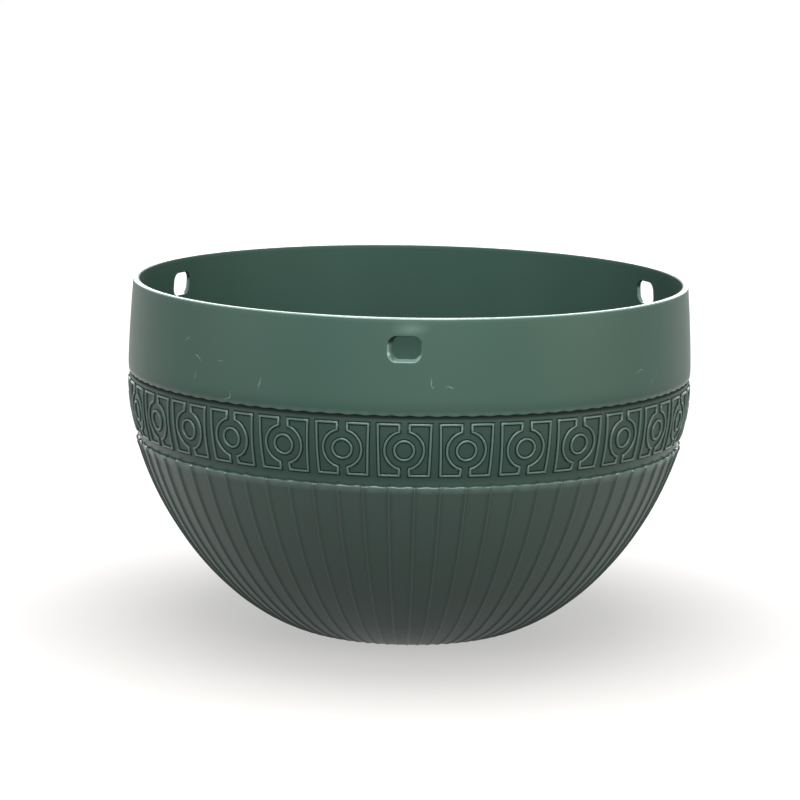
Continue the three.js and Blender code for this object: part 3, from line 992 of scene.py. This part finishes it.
floor_material = bpy.data.materials.new("Pale floor")
floor_material.use_nodes = True
tree = floor_material.node_tree
below = add(tree, "ShaderNodeNewGeometry").outputs["Backfacing"]
coords = add(tree, "ShaderNodeTexCoord").outputs["Object"]
glow = add(
    tree, "ShaderNodeMapRange",
    {"Value": vectors(tree, "LENGTH", coords)["Value"], "From Min": GLOW_FROM[0],
     "To Min": GLOW_FROM[1], "From Max": GLOW_TO[0], "To Max": GLOW_TO[1]},
    interpolation_type="SMOOTHSTEP",
).outputs["Result"]
feed(tree, tree.nodes["Principled BSDF"], {
    "Base Color": (0.16, 0.15, 0.14, 1),
    "Roughness": 0.95,
    "Specular IOR Level": 0.1,
    "Alpha": maths(tree, "SUBTRACT", 1.0, below),
    "Emission Color": (1, 1, 1, 1),
    "Emission Strength": maths(tree, "MULTIPLY", white_for_the_eye(tree), glow),
})

bm = bmesh.new()
bmesh.ops.create_circle(
    bm, cap_ends=True, segments=96, radius=GROUND_RADIUS,
    matrix=Matrix.Translation((0, 0, -GROUND_DROP)),
)
mesh = bpy.data.meshes.new("floor")
bm.to_mesh(mesh)
bm.free()
floor = bpy.data.objects.new("floor", mesh)
floor.data.materials.append(floor_material)
bpy.context.scene.collection.objects.link(floor)
print("floor radius:", GROUND_RADIUS, "m, facing", [round(x) for x in mesh.polygons[0].normal])

# %% The room
world = bpy.data.worlds.new("Studio")
bpy.context.scene.world = world
world.use_nodes = True
tree = world.node_tree
room = tree.nodes["Background"]
room.inputs["Color"].default_value = (0.05, 0.05, 0.05, 1)
seen = add(tree, "ShaderNodeBackground", {"Color": (1, 1, 1, 1), "Strength": 1.0})
choose = add(
    tree, "ShaderNodeMixShader",
    {0: white_for_the_eye(tree), 1: room.outputs[0], 2: seen.outputs[0]},
)
tree.links.new(choose.outputs[0], tree.nodes["World Output"].inputs["Surface"])
print("world:", world.name)

# %% [markdown]
# ## The lamps
#
# Large soft boxes give a satin surface broad, quiet reflections, where small lamps would leave
# hot spots. The two in front do most of the work. The one overhead fills the inside and draws
# the line along the lip, the ones at the sides catch the outline, and the one behind keeps
# the back from going dark.


# %% Lamps
def lamp(name, location, target, size, power, colour=(1, 1, 1)):
    """A rectangular soft box that points at a target."""
    data = bpy.data.lights.new(name, "AREA")
    data.shape = "RECTANGLE"
    data.size, data.size_y = size
    data.energy = power
    data.color = colour
    box = bpy.data.objects.new(name, data)
    box.location = location
    aim = Vector(target) - Vector(location)
    box.rotation_euler = aim.to_track_quat("-Z", "Y").to_euler()
    bpy.context.scene.collection.objects.link(box)


lamp("overhead_softbox", (0.0, -0.15, 1.3), (0, 0, 0.1), (1.0, 0.7), 17)
lamp("front_high_softbox", (-0.2, -2.2, 2.6), (0, 0, 0.1), (2.4, 1.8), 78)
lamp("front_low_softbox", (0.2, -2.3, 0.85), (0, 0, 0.1), (1.8, 1.3), 31)
lamp("back_softbox", (0.0, 2.4, 0.7), (0, 0, 0.05), (2.4, 1.0), 26)
lamp("left_softbox", (-2.2, -0.9, 0.4), (0, 0, 0.05), (1.8, 0.7), 12, (1, 0.94, 0.86))
lamp("right_softbox", (2.2, -0.9, 0.4), (0, 0, 0.05), (1.8, 0.7), 22, (1, 0.90, 0.74))

# %% [markdown]
# ## The camera
#
# The photograph looks down on the rim by about 7.6 degrees through a long lens, with the
# camera tilted by one degree. The script aims it and then rolls it about its own axis.

# %% Camera
CAMERA_PLACE, CAMERA_TARGET = (0.01692, -1.60447, 0.37373), (-0.00403, 0.0, 0.10344)
CAMERA_LENS, CAMERA_ROLL = 161.4, radians(0.946)

camera_data = bpy.data.cameras.new("camera")
camera_data.sensor_width = 36
camera_data.lens = CAMERA_LENS
camera = bpy.data.objects.new("camera", camera_data)
camera.location = CAMERA_PLACE
aim = Vector(CAMERA_TARGET) - camera.location
turn = aim.to_track_quat("-Z", "Y") @ Quaternion((0, 0, 1), CAMERA_ROLL)
camera.rotation_euler = turn.to_euler()
bpy.context.scene.collection.objects.link(camera)
bpy.context.scene.camera = camera
bpy.context.scene.view_settings.view_transform = "Standard"
print("camera distance:", round(camera.location.length, 3), "m")
